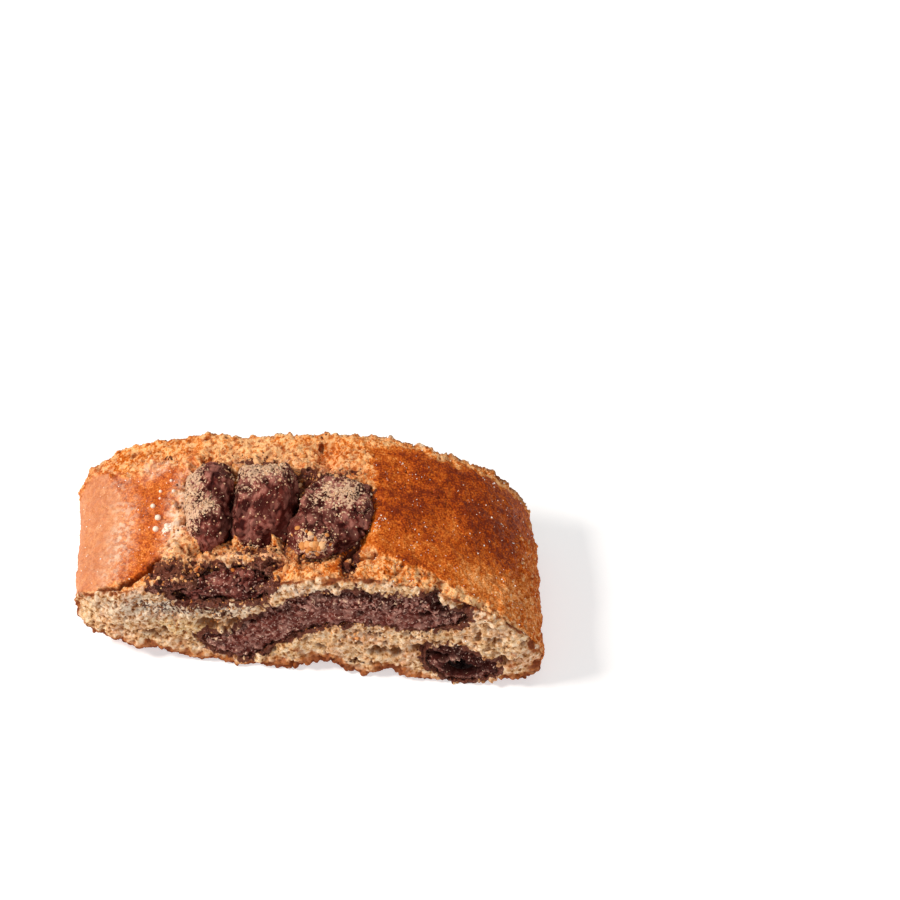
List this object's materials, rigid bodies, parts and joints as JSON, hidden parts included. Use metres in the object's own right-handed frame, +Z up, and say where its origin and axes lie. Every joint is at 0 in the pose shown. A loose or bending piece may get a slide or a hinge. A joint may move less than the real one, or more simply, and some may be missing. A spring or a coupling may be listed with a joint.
{
  "type": "chocolate biscotto",
  "caption": "Slice of twice-baked loaf with a browned crust, porous cut faces, a chocolate layer running through it and chocolate lumps in its burst top.",
  "frame": {"origin": "middle of the flat underside, at the bottom centre of the slice's box", "axes": "+X across the width of the loaf, from the long left shoulder to the short right one, +Y along the loaf from the front cut to the back cut, +Z up from the baking sheet"},
  "size_m": [0.081, 0.031, 0.0279],
  "materials": {
    "baked_dough": "golden to orange-brown baked crust, slightly glossy on the smooth side, with pale yellow porous crumb on the cut faces",
    "baked_chocolate": "matt purple-brown baked chocolate dusted with crumbs",
    "chocolate_crumb": "crumbly grey-brown mixture of chocolate and dough on the cut"
  },
  "bodies": {
    "root": {"dough": "baked_dough", "chocolate_lump_left": "baked_chocolate", "chocolate_lump_middle": "baked_chocolate", "chocolate_lump_right": "baked_chocolate", "chocolate_seam": "baked_chocolate", "chocolate_ribbon": "chocolate_crumb", "chocolate_pocket": "chocolate_crumb"}
  },
  "joints": []
}
